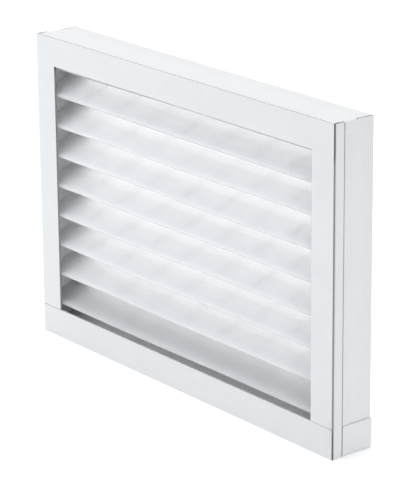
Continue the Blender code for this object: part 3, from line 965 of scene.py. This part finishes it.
def makeFleeceMaterial():
    # White synthetic fleece, with painted shade towards the crests and under them. Part of the
    # light passes through each skin.
    material, tree, shader = newMaterial("fleece")
    flat = addNode(tree, "ShaderNodeUVMap", uv_map="flat").outputs["UV"]
    web = useGroup(tree, fleeceWeb, {"Flat": flat, "Fibre": fleeceLook["fibre"],
                                     "Bond spacing": fleeceLook["bondSpacing"],
                                     "Bonds": fleeceLook["bonds"]})
    crest = attributeNode(tree, "crest")
    # painted shade that grows towards the crests, with a lighter tip
    pressedAndCrestShade = rangeNode(tree, crest, 0.55, 0.93, 0.0, 0.75)
    colour = mixColour(tree, pressedAndCrestShade, web["Colour"], fleeceLook["paintedCreaseShade"])
    colour = mixColour(tree, rangeNode(tree, crest, 0.965, 1.0), colour, fleeceLook["nose"])
    # painted shade under each crest's nose
    shade = rangeNode(tree, attributeNode(tree, "underShade"), 0.15, 0.7, 0.0, 0.7)
    colour = mixColour(tree, shade, colour, fleeceLook["underNoseShade"])
    feed(tree, shader, {
        "Base Color": colour,
        "Roughness": rangeNode(tree, web["Height"], 0.0, 0.8, 0.98, 0.86),
        "Specular IOR Level": 0.15,
        "Sheen Weight": 0.1,
        "Sheen Roughness": 0.6,
        "Normal": bumpNode(tree, web["Height"], 0.6, 0.00035),
    })
    glow = addNode(tree, "ShaderNodeBsdfTranslucent", {"Color": colour})
    mixed = addNode(tree, "ShaderNodeMixShader", {
        0: fleeceLook["through"], 1: shader.outputs["BSDF"], 2: glow.outputs["BSDF"]})
    output = next(node for node in tree.nodes if node.type == "OUTPUT_MATERIAL")
    feed(tree, output, {"Surface": mixed.outputs["Shader"]})
    return material


def makeGlueMaterial():
    # Pale hot melt: slow milky clouds, and a fine grain in its gloss
    material, tree, shader = newMaterial("hotMelt")
    place = objectPlace(tree)
    clouds = rangeNode(tree, noiseNode(tree, place, 60.0, 4.0, 0.6), 0.3, 0.7)
    fine = noiseNode(tree, place, 700.0, 3.0, 0.6)
    feed(tree, shader, {
        "Base Color": mixColour(tree, clouds, glueLook["milky"], glueLook["pale"]),
        "Roughness": rangeNode(tree, fine, 0.3, 0.7, 0.32, 0.5),
        "Specular IOR Level": 0.45,
        "Normal": bumpNode(tree, fine, 0.3, 0.00015),
    })
    return material


def makeWireMaterial():
    # Zinc-plated wire: drawn lines, a little white bloom
    material, tree, shader = newMaterial("zincWire")
    place = objectPlace(tree)
    bloom = rangeNode(tree, noiseNode(tree, place, 240.0, 4.0, 0.65), 0.5, 0.75)
    drawn = noiseNode(tree, stretched(tree, place, (0.1, 1.0, 1.0)), 3200.0, 2.0, 0.6)
    lines = rangeNode(tree, drawn, 0.3, 0.7, 0.26, 0.4)
    feed(tree, shader, {
        "Base Color": mixColour(tree, bloom, wires["zinc"], wires["bloom"]),
        "Roughness": mathNode(tree, "MULTIPLY_ADD", bloom, 0.28, lines),
        "Metallic": 1.0,
        "Normal": bumpNode(tree, drawn, 0.2, 0.00004),
    })
    return material


finishes = {
    "plate_card": makeBoardMaterial("plateCard", boardLook, True),
    "folded_card": makeBoardMaterial("foldedCard", foldedLook, False),
    "fleece": makeFleeceMaterial(),
    "adhesive": makeGlueMaterial(),
    "support_metal": makeWireMaterial(),
}
print("materials built")


def fitPiece(piece, slot, *nodes):
    # Every piece rides on the one body and stands for its CAD nodes
    piece.data.materials.append(finishes[slot])
    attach(piece, "root")
    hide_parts(*nodes)
    return piece


fitPiece(makeFrontPlate(), "plate_card", "front_plate")
fitPiece(makeFrontSill(), "plate_card", "front_sill")
fitPiece(makeTopChannel(), "folded_card", "top_channel")
fitPiece(makeBottomCap(), "folded_card", "bottom_cap")
for sideName, side in (("left", -1), ("right", 1)):
    label = sideName.capitalize()
    for make, piece, node in (
        (makeSideChannel, "sideChannel", "side_channel_"),
        (makeCornerAngle, "cornerAngle", "corner_angle_"),
        (makeSeamStrip, "seamStrip", "seam_strip_"),
    ):
        fitPiece(make(piece + label, side), "folded_card", node + sideName)
    node = "edge_seal_" + sideName
    fitPiece(makeGlue("edgeSeal" + label, "X", *boxOf(node), 11 + side), "adhesive", node)
print("card pieces and pads built")

media, developed = makeMedia()
fitPiece(media, "fleece", "pleated_media")
grid = fitPiece(makeGrid(), "support_metal", "support_grid")
for end in ("bottom", "top"):
    node = "lip_glue_" + end
    name = "lipGlue" + end.capitalize()
    fitPiece(makeGlue(name, "Z", *boxOf(node), len(end)), "adhesive", node)
print("fleece built, cut length", round(float(developed), 4), "m")


# floor, light and camera
studio = {
    "world": (0.985, 0.992, 1.0, 1),
    "worldStrength": 0.665,
    "floor": ((0.965, 0.97, 0.975, 1), (0.975, 0.98, 0.985, 1)),
    "floorSize": 12,
    "floorGlow": 0.12,  # the floor is a lit white table
}


def makeFloor():
    # A wide pale sheet, very slightly mottled
    half = studio["floorSize"] / 2
    row = np.linspace(-half, half, 13)
    x, y = np.meshgrid(row, row, indexing="ij")
    index = np.arange(x.size).reshape(x.shape)
    quads = quadsOf(index[:-1, :-1], index[1:, :-1], index[1:, 1:], index[:-1, 1:])
    mesh = bpy.data.meshes.new("floor")
    mesh.from_pydata(np.stack((x, y, 0 * x), axis=-1).reshape(-1, 3), [], quads)
    floor = bpy.data.objects.new("floor", mesh)
    bpy.context.scene.collection.objects.link(floor)
    material, tree, shader = newMaterial("paleFloor")
    tone = noiseNode(tree, objectPlace(tree), 1.5, 2.0)
    feed(tree, shader, {
        "Base Color": mixColour(tree, tone, *studio["floor"]),
        "Roughness": 0.9,
        "Emission Color": (1, 1, 1, 1),
        "Emission Strength": studio["floorGlow"],
    })
    mesh.materials.append(material)


# name, place, target, size and watts; all white
areaLights = (
    ("keyUpperLeft", (-0.62, -0.8, 0.58), (-0.1, 0, 0.15), (0.5, 0.5), 1.15),
    ("lowFront", (-0.2, -1.3, 0.6), (0, -0.35, 0), (1.0, 0.6), 2.3),
    ("overhead", (-0.2, 0, 2.2), (0, 0, 0.1), (1.8, 2.0), 22),
    ("fillRight", (2.2, -0.3, 0.8), (0, 0, 0.15), (1.2, 1.2), 4.4),
    ("behind", (-0.7, 1.9, 0.32), (-0.05, 0, 0.15), (1.5, 0.6), 14),
)


def makeLight(name, location, target, size, power):
    data = bpy.data.lights.new(name, "AREA")
    data.shape = "RECTANGLE"
    data.size, data.size_y = size
    data.energy = power
    light = bpy.data.objects.new(name, data)
    light.location = location
    light.rotation_mode = "QUATERNION"
    light.rotation_quaternion = (Vector(target) - light.location).to_track_quat("-Z", "Y")
    bpy.context.scene.collection.objects.link(light)


cameraPlace = {
    "location": (1.72796, -1.35220, 0.85072),
    "target": (0.01069, 0.00655, 0.13675),
    "roll": 0.4652,  # degrees, turning the view's right side down
    "lens": 184.42,
}


def makeCamera():
    data = bpy.data.cameras.new("camera")
    data.lens = cameraPlace["lens"]
    data.sensor_width = 36.0
    data.clip_start, data.clip_end = 0.1, 50.0
    camera = bpy.data.objects.new("camera", data)
    location = Vector(cameraPlace["location"])
    forward = (Vector(cameraPlace["target"]) - location).normalized()
    levelRight = forward.cross(Vector((0, 0, 1))).normalized()
    down = forward.cross(levelRight)
    roll = radians(cameraPlace["roll"])
    right = levelRight * cos(roll) + down * sin(roll)
    up = right.cross(forward)
    turn = Matrix((right, up, -forward)).transposed()
    camera.matrix_world = Matrix.Translation(location) @ turn.to_4x4()
    bpy.context.scene.collection.objects.link(camera)
    bpy.context.scene.camera = camera


def makeWorld():
    world = bpy.data.worlds.new("studio")
    world.use_nodes = True
    background = world.node_tree.nodes["Background"]
    background.inputs["Color"].default_value = studio["world"]
    background.inputs["Strength"].default_value = studio["worldStrength"]
    bpy.context.scene.world = world


makeFloor()
makeWorld()
for light in areaLights:
    makeLight(*light)
makeCamera()
bpy.context.scene.view_settings.view_transform = "Standard"
print("studio built")
